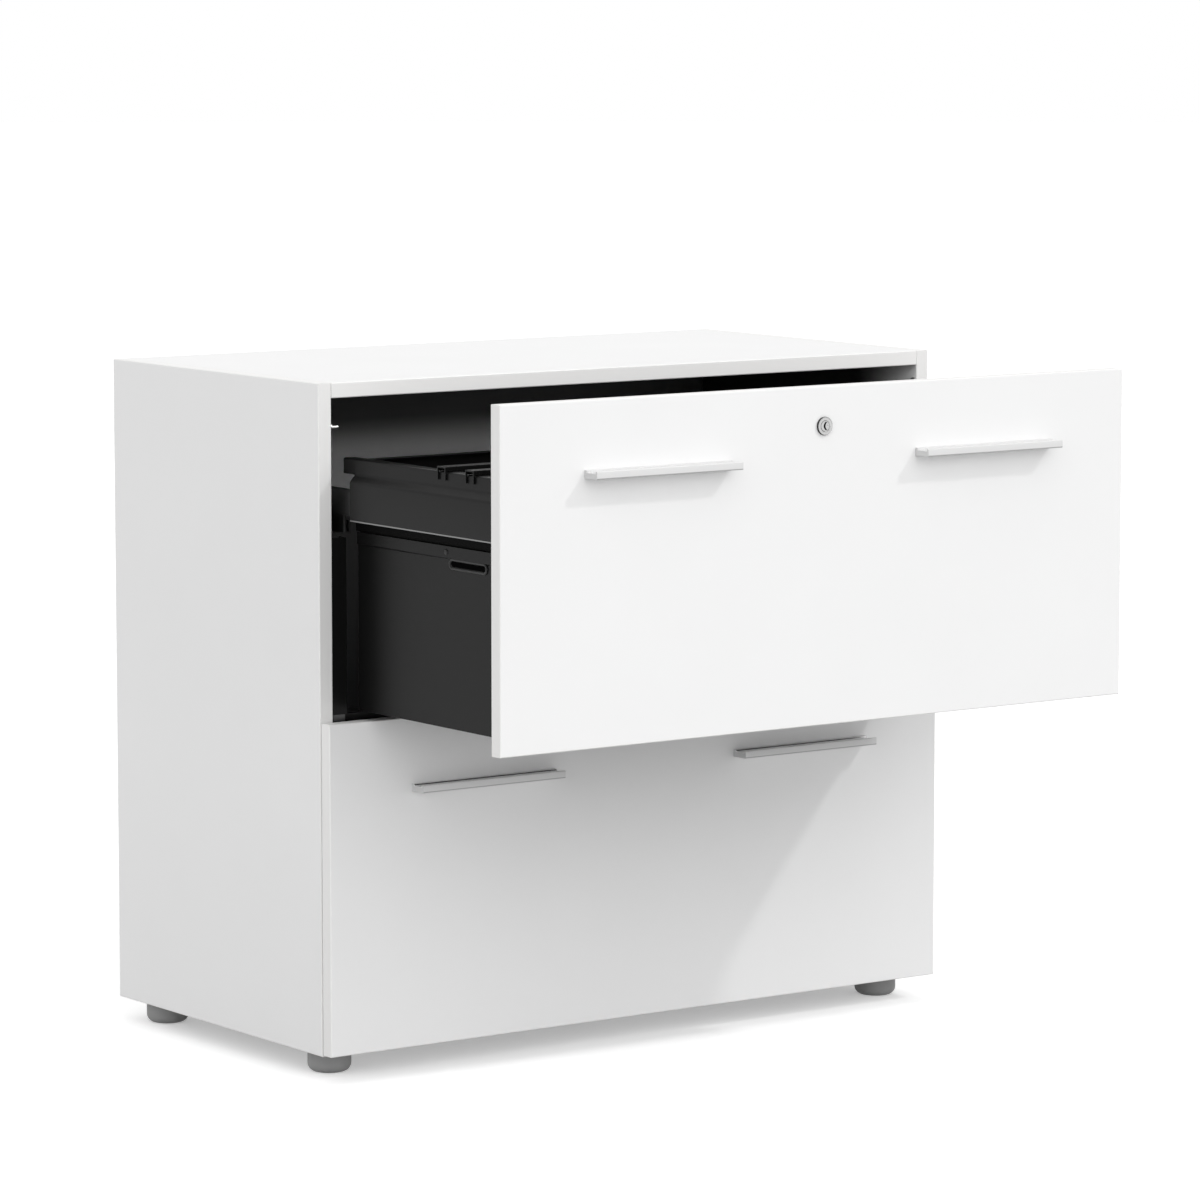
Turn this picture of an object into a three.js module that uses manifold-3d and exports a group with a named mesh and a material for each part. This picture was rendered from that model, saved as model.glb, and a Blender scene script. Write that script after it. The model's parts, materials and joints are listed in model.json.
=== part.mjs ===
// Lateral filing cabinet: melamine carcass, two pressed-steel file drawers on telescopic runners,
// a rack-and-pinion lock in the upper front and an anti-tilt interlock bar.
// Millimetres, +Z up. The fronts face -Y. The upper drawer stands open, the lower one is shut.
import * as THREE from 'three';
import { mergeVertices } from 'three/addons/utils/BufferGeometryUtils.js';
import Module from 'manifold-3d';

const wasm = await Module();
wasm.setup();

// Carcass
const width = 800;
const carcassDepth = 410;
const carcassHeight = 700;
const boardThickness = 16;
const boardEase = 0.8;
const boardJoint = 0.2;
const seatGap = 0.3;

// Fronts
const frontThickness = 16;
const frontGap = 2;
const frontReveal = 3;
const lowerFrontLift = 2;
const restOpening = 309;

// Handles
const handleLength = 180;
const handleInset = 101;
const handleDrop = 69;
const handleProjection = 22;
const handleFlange = 8.3;
const handleLip = 7.3;
const handleWall = 2.2;
const handleDip = 2.2;
const handleEase = 0.8;

// Steel drawer, hung below the upper edge of its front
const sheet = 1.2;
const rimDrop = 77.5;
const rimHeight = 16;
const rimInset = 14;
const rimWidth = 16;
const rimLength = 308;
const hoodInset = 7;
const hoodHeight = 39.5;
const hoodLip = 4.5;
const hoodLength = 286;
const shoulderHeight = 7;
const innerWallDrop = 14;
const trayLip = 18;
const beadHeight = 12;
const beadDepth = 1.5;
const beadOutset = 3.8;
const trayBottomRise = { upper: 8, lower: 18 };
const trayFlange = 12;
const trayLength = 303;
const foldWidth = 11;
const foldDrop = 2;
const ribCount = 3;
const ribWidth = 14;
const ribHeight = 2;
const slotLength = 64;
const slotHeight = 8;
const slotDrop = 18;
const slotSetback = 101;

// Rails for hanging files
const railWidth = 15;
const railHeight = 13.5;
const railSheet = 1.5;
const railProud = 5;
const railHook = 1.7;
const railSetbacks = { front: 76, rear: 126 };

// Telescopic runners
const runnerTravel = 320;
const trackOverlap = 30;
const trackSetback = 3;
const trackDrop = 17;
const trackReach = 25;
const trackFlange = 14;
const trackSheet = 2;
const trackStemOffset = 18;
const trackStem = 3;
const trackHeadWidth = 7;
const trackHeadHeight = 5;
const guideRise = 30;
const guideLip = 10;
const carriageLength = 200;
const carriageSetback = 60;
const carriageSheet = 1.5;
const carriageLeg = 26;

// Lock in the upper front
const lockDrop = 40.5;
const lockFlangeRadius = 9.4;
const lockFlangeProud = 2.7;
const lockBodyRadius = 8;
const lockTail = 6;
const plugRadius = 5.3;
const plugRecess = 0.4;
const plugTailRadius = 3;
const keywayWidth = 1.8;
const keywayHeight = 7;
const keywayDepth = 8;
const pinionTeeth = 12;
const pitchRadius = 8;
const toothAddendum = 1;
const toothDedendum = 1.35;
const toothBacklash = 0.25;
const pressureAngle = THREE.MathUtils.degToRad(25);
const rodThickness = 3;
const rackBack = 4;
const rodNear = 2;
const rodNotch = 14;
const rackLength = 20;
const gearCaseLength = 52;
const rodGuideLength = 20;
const rodGuideInset = 95;
const bracketSheet = 1.2;
const strikeReach = 11;
const strikeRadius = 2.2;
const strikeCollarRadius = 4.5;
const strikeCollarLength = 1.2;
const strikeSetback = 5;
const strikeOffset = 6;
const strikeGap = 0.8;
const rodRetreat = 2.5;

// Cross rail and anti-tilt interlock
const crossRailRise = 3.5;
const crossRailHeight = 12;
const crossRailDepth = 30;
const crossRailSetback = 8;
const uprightWidth = 17.7;
const uprightDepth = 12;
const uprightSetback = 1;
const uprightClearance = 3;
const interlockBarLength = 242;
const interlockBarThickness = 4;
const interlockHeadroom = 8;

// Feet
const footHeight = 25;
const footRadius = 23;
const footRounding = 9;
const footInset = 36;
const footSetback = 42;
const studRadius = 5;
const studLength = 14;
const socketWall = 2.7;
const socketTopCover = 0.5;

// Facets on turned pieces
const roundSegments = 32;
const arcSegments = 5;

// Derived places
const halfWidth = width / 2;
const innerHalf = halfWidth - boardThickness;
const frontBack = -frontGap;
const frontFace = frontBack - frontThickness;
const frontHeight = (carcassHeight - lowerFrontLift - frontReveal) / 2;
const drawerBase = { upper: lowerFrontLift + frontHeight + frontReveal, lower: lowerFrontLift };
const drawerOpening = { upper: restOpening, lower: 0 };
const steelFront = frontBack + seatGap;
const rimTop = frontHeight - rimDrop;
const rimBottom = rimTop - rimHeight;
const hoodTop = rimBottom - shoulderHeight;
const hoodBottom = hoodTop - hoodHeight;
const innerWall = rimInset + rimWidth;
const innerWallBottom = hoodBottom - innerWallDrop;
const trayTop = innerWallBottom - seatGap;
const trayLipFace = innerWall + seatGap;
const trayWall = trayLipFace - beadOutset + beadDepth;
const bayHalf = innerHalf - trayLipFace - sheet - seatGap;
const guideUnder = hoodBottom + guideRise;
const carriageTop = guideUnder - seatGap;
const trackTop = carriageTop - carriageSheet - seatGap;
const trackBottom = hoodBottom - trackDrop;
const carriageHalf = trackHeadWidth / 2 + seatGap + carriageSheet;
const lockHeight = frontHeight - lockDrop;
const rodFront = strikeSetback + strikeRadius + strikeGap;
const rodBack = rodFront + rodThickness;
const rackRoot = pitchRadius + toothDedendum;
const rodFar = rackRoot + rackBack;
const rodEnd = innerHalf - strikeReach - rodRetreat;
const sides = { left: -1, right: 1 };

// Materials
const finish = (color, roughness, metalness) => () =>
  new THREE.MeshStandardMaterial({ color, roughness, metalness });
const whiteBoard = finish(0xf1f1f0, 0.5, 0);
const satinMetal = finish(0xdcdcdb, 0.4, 0.1);
const blackSteel = finish(0x1a1b1d, 0.45, 0.4);
const darkSteel = finish(0x34363a, 0.4, 0.7);
const brightSteel = finish(0xc9cbcd, 0.25, 1);
const greyPlastic = finish(0x77797b, 0.6, 0);

// Solids: closed geometry to a manifold and back
function toSolid(geometry) {
  const bare = new THREE.BufferGeometry();
  bare.setAttribute('position', geometry.getAttribute('position').clone());
  if (geometry.index) bare.setIndex(geometry.index.clone());
  const merged = mergeVertices(bare, 1e-4);
  return new wasm.Manifold(new wasm.Mesh({
    numProp: 3,
    vertProperties: new Float32Array(merged.getAttribute('position').array),
    triVerts: facingOut(merged),
  }));
}

// Triangle list without slivers of no area, turned round if the closed surface faces inwards
function facingOut(geometry) {
  const corner = (i) => new THREE.Vector3().fromBufferAttribute(geometry.getAttribute('position'), i);
  const faces = [];
  let volume = 0;
  for (let i = 0; i < geometry.index.count; i += 3) {
    const face = [0, 1, 2].map((k) => geometry.index.getX(i + k));
    if (new Set(face).size < 3) continue;
    const [a, b, c] = face.map(corner);
    volume += a.dot(b.cross(c));
    faces.push(face);
  }
  return new Uint32Array(faces.flatMap((face) => (volume < 0 ? face.reverse() : face)));
}

function toGeometry(solid) {
  const mesh = solid.getMesh();
  const geometry = new THREE.BufferGeometry();
  geometry.setAttribute('position', new THREE.BufferAttribute(mesh.vertProperties, 3));
  geometry.setIndex(new THREE.BufferAttribute(mesh.triVerts, 1));
  return geometry;
}

const join = (...solids) => solids.reduce((sum, solid) => sum.add(solid));
const cut = (solid, ...tools) => tools.reduce((rest, tool) => rest.subtract(tool), solid);

// Extrusions of an outline along one axis, with its two coordinates in the order given
const axisBasis = {
  x: [[0, 1, 0], [0, 0, 1], [1, 0, 0]],
  y: [[1, 0, 0], [0, 0, 1], [0, -1, 0]],
  z: [[1, 0, 0], [0, 1, 0], [0, 0, 1]],
};

function extrude(axis, outline, from, to, ease = 0) {
  const shape = new THREE.Shape(outline.map(([a, b]) => new THREE.Vector2(a, b)));
  const geometry = new THREE.ExtrudeGeometry(shape, {
    depth: to - from - 2 * ease,
    bevelEnabled: ease > 0,
    bevelSegments: 1,
    bevelSize: ease,
    bevelOffset: -ease,
    bevelThickness: ease,
  });
  const basis = axisBasis[axis].map((v) => new THREE.Vector3(...v));
  const start = axis === 'y' ? to - ease : from + ease;
  const turn = new THREE.Matrix4().makeBasis(...basis);
  const direction = axis === 'y' ? new THREE.Vector3(0, 1, 0) : basis[2];
  turn.setPosition(direction.clone().multiplyScalar(start));
  return toSolid(geometry.applyMatrix4(turn));
}

const rectangle = (a0, a1, b0, b1) => [[a0, b0], [a1, b0], [a1, b1], [a0, b1]];

const block = (x0, x1, y0, y1, z0, z1) => extrude('z', rectangle(x0, x1, y0, y1), z0, z1);

// Outline of folded sheet: the path offset to its left by the sheet's thickness, with mitred corners
function folded(path, thickness) {
  const points = path.map(([a, b]) => new THREE.Vector2(a, b));
  const normals = points.slice(1).map((p, i) => {
    const along = p.clone().sub(points[i]).normalize();
    return new THREE.Vector2(-along.y, along.x);
  });
  const offset = points.map((p, i) => {
    const before = normals[Math.max(i - 1, 0)];
    const after = normals[Math.min(i, normals.length - 1)];
    const mitre = before.clone().add(after);
    return p.clone().addScaledVector(mitre, thickness / (1 + before.dot(after)));
  });
  return [...points, ...offset.reverse()].map((p) => [p.x, p.y]);
}

// Outline given as insets from a side board's inner face, placed on the left or right side
const onSide = (side, outline) => outline.map(([inset, b]) => [side * (innerHalf - inset), b]);

// Turned pieces: profile points are radius and place along the axis
function turned(axis, profile, centre) {
  const points = profile.map(([radius, along]) => new THREE.Vector2(radius, along));
  const geometry = new THREE.LatheGeometry(points, roundSegments);
  if (axis === 'z') geometry.rotateX(Math.PI / 2);
  if (axis === 'x') geometry.rotateZ(-Math.PI / 2);
  return toSolid(geometry.translate(...centre));
}

const rod = (axis, radius, from, to, centre) =>
  turned(axis, [[0, from], [radius, from], [radius, to], [0, to]], centre);

// Scene graph
const cabinet = new THREE.Group();
const carcass = new THREE.Group();
cabinet.add(carcass);

function place(group, name, solid, material) {
  const mesh = new THREE.Mesh(toGeometry(solid), material());
  mesh.name = name;
  group.add(mesh);
}

// Carcass boards: sides run full height, the other boards fit between them
const betweenSides = innerHalf - boardJoint;

function footHoles() {
  const holeRadius = studRadius + seatGap + socketWall + seatGap;
  return footPlaces().map(({ x, y }) => rod('z', holeRadius, -seatGap, boardThickness + seatGap, [x, y, 0]));
}

function footPlaces() {
  const rows = { front: footSetback, back: carcassDepth - footSetback };
  return Object.entries(rows).flatMap(([row, y]) =>
    Object.entries(sides).map(([side, s]) => ({ name: `${row}_${side}`, x: s * (halfWidth - footInset), y })));
}

function buildCarcass() {
  for (const [side, s] of Object.entries(sides)) {
    const faces = [s * innerHalf, s * halfWidth].sort((a, b) => a - b);
    const board = extrude('x', rectangle(0, carcassDepth, 0, carcassHeight), ...faces, boardEase);
    place(carcass, `${side}_side_panel`, board, whiteBoard);
  }
  const plan = rectangle(-betweenSides, betweenSides, 0, carcassDepth);
  const top = extrude('z', plan, carcassHeight - boardThickness, carcassHeight, boardEase);
  place(carcass, 'top_panel', top, whiteBoard);
  const bottom = extrude('z', plan, 0, boardThickness, boardEase);
  place(carcass, 'bottom_panel', cut(bottom, ...footHoles()), whiteBoard);
  const lowest = boardThickness + boardJoint;
  const elevation = rectangle(-betweenSides, betweenSides, lowest, carcassHeight - lowest);
  const back = extrude('y', elevation, carcassDepth - boardThickness, carcassDepth, boardEase);
  place(carcass, 'back_panel', back, whiteBoard);
}

// Cross rail between the drawers: an inverted channel across the opening
function buildCrossRail() {
  const top = drawerBase.upper + crossRailRise;
  const front = crossRailSetback;
  const back = crossRailSetback + crossRailDepth;
  const low = top - crossRailHeight;
  const section = folded([[back, low], [back, top], [front, top], [front, low]], sheet);
  const reach = innerHalf - seatGap;
  place(carcass, 'front_cross_rail', extrude('x', section, -reach, reach), blackSteel);
}

// Upright channel on the left side, and the bar that slides up and down in it
function buildInterlock() {
  const back = uprightSetback + uprightDepth;
  const low = drawerBase.upper + crossRailRise + seatGap;
  const high = drawerBase.upper + trackBottom - uprightClearance;
  const path = [[seatGap, back], [seatGap, uprightSetback], [uprightWidth + seatGap, uprightSetback],
    [uprightWidth + seatGap, back]];
  const section = onSide(sides.left, folded(path, sheet));
  place(carcass, 'interlock_upright', extrude('z', section, low, high), blackSteel);

  const barFront = uprightSetback + sheet + seatGap;
  const barEdges = [2 * seatGap + sheet, uprightWidth - sheet];
  const plan = onSide(sides.left, rectangle(...barEdges, barFront, barFront + interlockBarThickness));
  const barTop = high - interlockHeadroom;
  const bar = extrude('z', plan, barTop - interlockBarLength, barTop);
  place(cabinet, 'interlock_bar', bar, darkSteel);
}

// Strike pins that the lock rods slide behind
function buildStrikes() {
  const lockLevel = drawerBase.upper + lockHeight;
  for (const [side, s] of Object.entries(sides)) {
    const profile = [[0, seatGap], [strikeCollarRadius, seatGap], [strikeCollarRadius, strikeCollarLength],
      [strikeRadius, strikeCollarLength], [strikeRadius, strikeReach], [0, strikeReach]];
    const along = profile.map(([radius, inset]) => [radius, s * (innerHalf - inset)]);
    const pin = turned('x', along, [0, strikeSetback, lockLevel + s * strikeOffset]);
    place(carcass, `${side}_strike_pin`, pin, brightSteel);
  }
}

// Fixed runner track: flange on the side board, channel under the hood, headed stem up inside it
function trackSection() {
  const floor = trackBottom + trackSheet;
  const lip = trackBottom + trackFlange;
  const neck = trackTop - trackHeadHeight;
  const stem = [trackStemOffset - trackStem / 2, trackStemOffset + trackStem / 2];
  const head = [trackStemOffset - trackHeadWidth / 2, trackStemOffset + trackHeadWidth / 2];
  return [
    [seatGap, trackBottom], [trackReach, trackBottom], [trackReach, lip], [trackReach - trackSheet, lip],
    [trackReach - trackSheet, floor], [stem[1], floor], [stem[1], neck], [head[1], neck],
    [head[1], trackTop], [head[0], trackTop], [head[0], neck], [stem[0], neck], [stem[0], floor],
    [seatGap + trackSheet, floor], [seatGap + trackSheet, lip], [seatGap, lip],
  ];
}

// Sliding carriage: an inverted channel that rides on the track's head
function carriageSection() {
  const inner = carriageHalf - carriageSheet;
  const low = carriageTop - carriageLeg;
  const under = carriageTop - carriageSheet;
  const path = [[inner, low], [inner, under], [-inner, under], [-inner, low]];
  return folded(path.reverse(), carriageSheet).map(([a, b]) => [trackStemOffset + a, b]);
}

function buildRunners() {
  const trackEnd = trackSetback + runnerTravel + trackOverlap;
  for (const [level, base] of Object.entries(drawerBase)) {
    const carriages = new THREE.Group();
    carriages.position.set(0, -drawerOpening[level] / 2, base);
    const tracks = new THREE.Group();
    tracks.position.set(0, 0, base);
    cabinet.add(carriages);
    carcass.add(tracks);
    for (const [side, s] of Object.entries(sides)) {
      const track = extrude('y', onSide(s, trackSection()), trackSetback, trackEnd);
      place(tracks, `${level}_${side}_runner_track`, track, darkSteel);
      const section = onSide(s, carriageSection());
      const carriage = extrude('y', section, carriageSetback, carriageSetback + carriageLength);
      place(carriages, `${level}_${side}_runner_carriage`, carriage, darkSteel);
    }
  }
}

// Drawer frame: hood over the runner, rim above it, inner wall, and the guide that sits on the carriage
function frameSolid(s) {
  const hoodPath = [[hoodInset + hoodLip, hoodBottom], [hoodInset, hoodBottom], [hoodInset, hoodTop],
    [rimInset, rimBottom], [rimInset, rimTop - sheet]];
  const rimPath = [[rimInset, rimBottom - sheet], [rimInset, rimTop], [innerWall, rimTop],
    [innerWall, innerWallBottom]];
  const inwards = (path) => onSide(s, folded(path, -sheet));
  const hood = extrude('y', inwards(hoodPath), steelFront, hoodLength);
  const rim = extrude('y', inwards(rimPath), steelFront, rimLength);
  const shelf = rectangle(hoodInset + sheet / 2, innerWall - sheet / 2, guideUnder, guideUnder + sheet);
  const lipNear = carriageHalf + seatGap;
  const lips = [[-lipNear - sheet, -lipNear], [lipNear, lipNear + sheet]].map(([a, b]) =>
    rectangle(trackStemOffset + a, trackStemOffset + b, guideUnder - guideLip, guideUnder + sheet / 2));
  const guide = [shelf, ...lips].map((outline) => extrude('y', onSide(s, outline), steelFront, hoodLength));
  return join(hood, rim, ...guide);
}

// Tray side: lip inside the frame's inner wall, rolled bead, plain wall with a slot, bottom flange
function traySideSolid(level, s) {
  const bottom = trayBottomRise[level];
  const bead = trayLipFace - beadOutset;
  const path = [[trayLipFace, trayTop + trayLip], [trayLipFace, trayTop], [bead, trayTop],
    [bead, trayTop - beadHeight], [trayWall, trayTop - beadHeight - beadDepth], [trayWall, bottom],
    [trayWall + trayFlange, bottom]];
  const wall = extrude('y', onSide(s, folded(path, sheet)), steelFront, trayLength);
  return cut(wall, slotTool(s));
}

function slotTool(s) {
  const radius = slotHeight / 2;
  const level = trayTop - slotDrop;
  const shape = new THREE.Shape();
  shape.absarc(slotSetback + slotLength / 2 - radius, level, radius, -Math.PI / 2, Math.PI / 2);
  shape.absarc(slotSetback - slotLength / 2 + radius, level, radius, Math.PI / 2, 1.5 * Math.PI);
  const outline = shape.extractPoints(arcSegments).shape.map((p) => [p.x, p.y]);
  const faces = [trayWall - sheet, trayWall + 2 * sheet].map((inset) => s * (innerHalf - inset));
  return extrude('x', outline, ...faces.sort((a, b) => a - b));
}

// Upper face of the tray side's flange, plus a seat for the tray bottom
const trayFloor = (level) => trayBottomRise[level] + sheet + seatGap;

// Tray bottom with pressed stiffening ribs across it
function trayBottomSolid(level) {
  const floor = trayFloor(level);
  const edge = innerHalf - trayWall - sheet - seatGap;
  const plate = block(-edge, edge, steelFront, trayLength, floor, floor + sheet);
  const ribs = Array.from({ length: ribCount }, (_, i) => {
    const middle = (trayLength * (i + 1)) / (ribCount + 1);
    const low = floor + sheet / 2;
    const high = floor + sheet + ribHeight;
    const section = [[middle - ribWidth / 2, low], [middle + ribWidth / 2, low],
      [middle + ribWidth / 2 - ribHeight, high], [middle - ribWidth / 2 + ribHeight, high]];
    return extrude('x', section, -edge + ribWidth, edge - ribWidth);
  });
  return join(plate, ...ribs);
}

// Inner front and back: plates with the top edge folded in over the bay
function crossPlateSolid(level, face, towards) {
  const low = trayFloor(level) + sheet + seatGap;
  const high = rimTop - foldDrop;
  const path = [[face, low], [face, high], [face + towards * foldWidth, high]];
  return extrude('x', folded(path, -towards * sheet), -bayHalf, bayHalf);
}

// File rail: inverted channel across the drawer, notched to sit on both rims and hooked outside them
function fileRailSolid(setback) {
  const half = railWidth / 2;
  const top = rimTop + railProud;
  const low = top - railHeight;
  const path = [[setback + half, low], [setback + half, top], [setback - half, top], [setback - half, low]];
  const reach = innerHalf - rimInset + seatGap + railHook;
  const rail = extrude('x', folded(path, railSheet), -reach, reach);
  const notches = Object.values(sides).map((s) => {
    const notch = rectangle(rimInset - seatGap, innerWall + seatGap, low - seatGap, rimTop + seatGap);
    return extrude('y', onSide(s, notch), setback - railWidth, setback + railWidth);
  });
  return cut(rail, ...notches);
}

// Bar pull: flange on the front, dipped web with a finger hollow beneath, raised outer lip
function handleSolid(x) {
  const tip = handleProjection;
  const lipBack = tip - handleWall;
  const webUnder = -handleDip - handleWall;
  const outline = [
    [boardJoint, 0], [2 * handleWall, 0], [2 * handleWall + handleDip, -handleDip],
    [lipBack - handleDip, -handleDip], [lipBack, 0], [tip - handleEase, 0], [tip, -handleEase],
    [tip, -handleLip], [lipBack, -handleLip], [lipBack, webUnder - handleEase],
    [lipBack - handleEase, webUnder], [2 * handleWall, webUnder], [boardJoint + handleWall, webUnder - handleWall],
    [boardJoint + handleWall, -handleFlange], [boardJoint, -handleFlange],
  ];
  const level = frontHeight - handleDrop;
  const section = outline.map(([out, z]) => [frontFace - out, level + z]);
  return extrude('x', section, x - handleLength / 2, x + handleLength / 2);
}

function buildDrawer(level) {
  const drawer = new THREE.Group();
  drawer.position.set(0, -drawerOpening[level], drawerBase[level]);
  cabinet.add(drawer);
  const named = (piece, solid, material) => place(drawer, `${level}_${piece}`, solid, material);

  const elevation = rectangle(-halfWidth, halfWidth, 0, frontHeight);
  const front = extrude('y', elevation, frontFace, frontBack, boardEase);
  named('front', level === 'upper' ? cut(front, lockHole()) : front, whiteBoard);
  for (const [side, s] of Object.entries(sides)) {
    named(`${side}_handle`, handleSolid(s * (halfWidth - handleInset - handleLength / 2)), satinMetal);
    named(`${side}_frame`, frameSolid(s), blackSteel);
    named(`${side}_tray_side`, traySideSolid(level, s), blackSteel);
  }
  named('inner_front', crossPlateSolid(level, steelFront, 1), blackSteel);
  named('drawer_back', crossPlateSolid(level, trayLength, -1), blackSteel);
  named('tray_bottom', trayBottomSolid(level), blackSteel);
  for (const [row, setback] of Object.entries(railSetbacks)) {
    named(`${row}_file_rail`, fileRailSolid(setback), blackSteel);
  }
  return drawer;
}

// Lock: housing through the front, plug with a keyway, and a pinion that drives two racked rods apart
const lockHole = () =>
  rod('y', lockBodyRadius + seatGap, frontFace - frontGap, frontBack + frontGap, [0, 0, lockHeight]);

function housingSolid() {
  const bore = plugRadius + seatGap;
  const face = frontFace - lockFlangeProud;
  const back = frontBack + lockTail;
  const profile = [[bore, face], [lockFlangeRadius - handleEase, face], [lockFlangeRadius, face + handleEase],
    [lockFlangeRadius, frontFace - boardJoint], [lockBodyRadius, frontFace - boardJoint],
    [lockBodyRadius, back], [bore, back], [bore, face]];
  return turned('y', profile, [0, 0, lockHeight]);
}

function plugSolid() {
  const face = frontFace - lockFlangeProud + plugRecess;
  const shoulder = frontBack + lockTail;
  const end = rodBack + 2 * seatGap + bracketSheet + seatGap;
  const profile = [[0, face], [plugRadius, face], [plugRadius, shoulder], [plugTailRadius, shoulder],
    [plugTailRadius, end], [0, end]];
  const keyway = block(-keywayWidth / 2, keywayWidth / 2, face - keywayWidth, face + keywayDepth,
    lockHeight - keywayHeight / 2, lockHeight + keywayHeight / 2);
  return cut(turned('y', profile, [0, 0, lockHeight]), keyway);
}

// Pinion with involute flanks, a tooth pointing straight up and another straight down
function pinionSolid() {
  const baseRadius = pitchRadius * Math.cos(pressureAngle);
  const involute = (angle) => Math.tan(angle) - angle;
  const halfTooth = (radius) => {
    const angle = Math.acos(Math.min(1, baseRadius / radius));
    const atPitch = Math.PI / (2 * pinionTeeth) - toothBacklash / (4 * pitchRadius);
    return atPitch + involute(pressureAngle) - involute(angle);
  };
  const radii = [pitchRadius - toothDedendum, baseRadius, pitchRadius, pitchRadius + toothAddendum];
  const outline = [];
  for (let tooth = 0; tooth < pinionTeeth; tooth += 1) {
    const middle = Math.PI / 2 - (2 * Math.PI * tooth) / pinionTeeth;
    const point = (radius, turn) => [radius * Math.cos(middle + turn), radius * Math.sin(middle + turn)];
    radii.forEach((radius) => outline.push(point(radius, halfTooth(radius))));
    radii.toReversed().forEach((radius) => outline.push(point(radius, -halfTooth(radius))));
  }
  const placed = outline.map(([x, z]) => [x, lockHeight + z]);
  const gear = extrude('y', placed, rodFront - seatGap, rodBack + seatGap);
  const bore = rod('y', plugTailRadius + boardJoint, frontBack, rodBack + frontGap, [0, 0, lockHeight]);
  return cut(gear, bore);
}

// Lock rod: flat bar under the pinion with a rack cut in its inner end; the right one is turned half round
function rodSolid(s) {
  const pitch = (2 * Math.PI * pitchRadius) / pinionTeeth;
  const slope = Math.tan(pressureAngle);
  const halfPitchWidth = pitch / 4 - toothBacklash / 4;
  const teeth = [];
  for (let centre = -pitch / 2; centre + pitch / 2 < rackLength; centre += pitch) {
    const tip = halfPitchWidth - toothAddendum * slope;
    const root = halfPitchWidth + toothDedendum * slope;
    teeth.push([centre - root, -rackRoot], [centre - tip, -pitchRadius + toothAddendum],
      [centre + tip, -pitchRadius + toothAddendum], [centre + root, -rackRoot]);
  }
  const outline = [[-rodEnd, -rodFar], [rackLength, -rodFar], [rackLength, -rackRoot], ...teeth.reverse(),
    [-rodNotch, -rackRoot], [-rodNotch, -rodNear], [-rodEnd, -rodNear]];
  const placed = outline.map(([x, z]) => [-s * x, lockHeight - s * z]);
  return extrude('y', placed, rodFront, rodBack);
}

// Channel bracket on the back of the front, with two lips that keep the rods in line
function bracketSolid(x0, x1, z0, z1, inside) {
  const path = [[steelFront, z0], [inside, z0], [inside, z1], [steelFront, z1]];
  return extrude('x', folded(path, -bracketSheet), x0, x1);
}

function buildLock(drawer) {
  place(drawer, 'lock_housing', housingSolid(), brightSteel);
  place(drawer, 'lock_plug', plugSolid(), brightSteel);
  place(drawer, 'lock_pinion', pinionSolid(), brightSteel);
  const lips = [lockHeight - rodFar - seatGap, lockHeight + rodFar + seatGap];
  const inside = rodBack + 2 * seatGap;
  const gearCase = bracketSolid(-gearCaseLength / 2, gearCaseLength / 2, ...lips, inside);
  const bearing = rod('y', plugTailRadius + boardJoint, rodBack, inside + 2 * bracketSheet, [0, 0, lockHeight]);
  place(drawer, 'lock_gear_case', cut(gearCase, bearing), darkSteel);
  for (const [side, s] of Object.entries(sides)) {
    place(drawer, `${side}_lock_rod`, rodSolid(s), brightSteel);
    const near = lockHeight + s * (rodNear - seatGap);
    const far = lockHeight + s * (rodFar + seatGap);
    const middle = s * (halfWidth - rodGuideInset);
    const ends = [middle - rodGuideLength / 2, middle + rodGuideLength / 2];
    const guide = bracketSolid(...ends, Math.min(near, far), Math.max(near, far), rodBack + seatGap);
    place(drawer, `${side}_rod_guide`, guide, blackSteel);
  }
}

// Levelling feet: moulded pad with its stud, turning in a threaded socket in the bottom board
function buildFeet() {
  const arc = Array.from({ length: arcSegments + 1 }, (_, i) => {
    const angle = -Math.PI / 2 + (i * Math.PI) / (2 * arcSegments);
    return [footRadius - footRounding + footRounding * Math.cos(angle),
      footRounding - footHeight + footRounding * Math.sin(angle)];
  });
  const pad = [[0, -footHeight], ...arc, [footRadius, -seatGap], [studRadius, -seatGap],
    [studRadius, studLength], [0, studLength]];
  const bore = studRadius + seatGap;
  const top = boardThickness - socketTopCover;
  const socket = [[bore, 0], [bore + socketWall, 0], [bore + socketWall, top], [bore, top], [bore, 0]];
  for (const { name, x, y } of footPlaces()) {
    place(cabinet, `${name}_foot`, turned('z', pad, [x, y, 0]), greyPlastic);
    place(carcass, `${name}_foot_socket`, turned('z', socket, [x, y, 0]), darkSteel);
  }
}

buildCarcass();
buildCrossRail();
buildInterlock();
buildStrikes();
buildRunners();
const upperDrawer = buildDrawer('upper');
buildDrawer('lower');
buildLock(upperDrawer);
buildFeet();

// Origin: middle of the footprint at rest, on the floor
const frontReach = restOpening - frontFace + handleProjection;
cabinet.position.set(0, (frontReach - carcassDepth) / 2, footHeight);

export default cabinet;
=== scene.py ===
import json
import math

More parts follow.
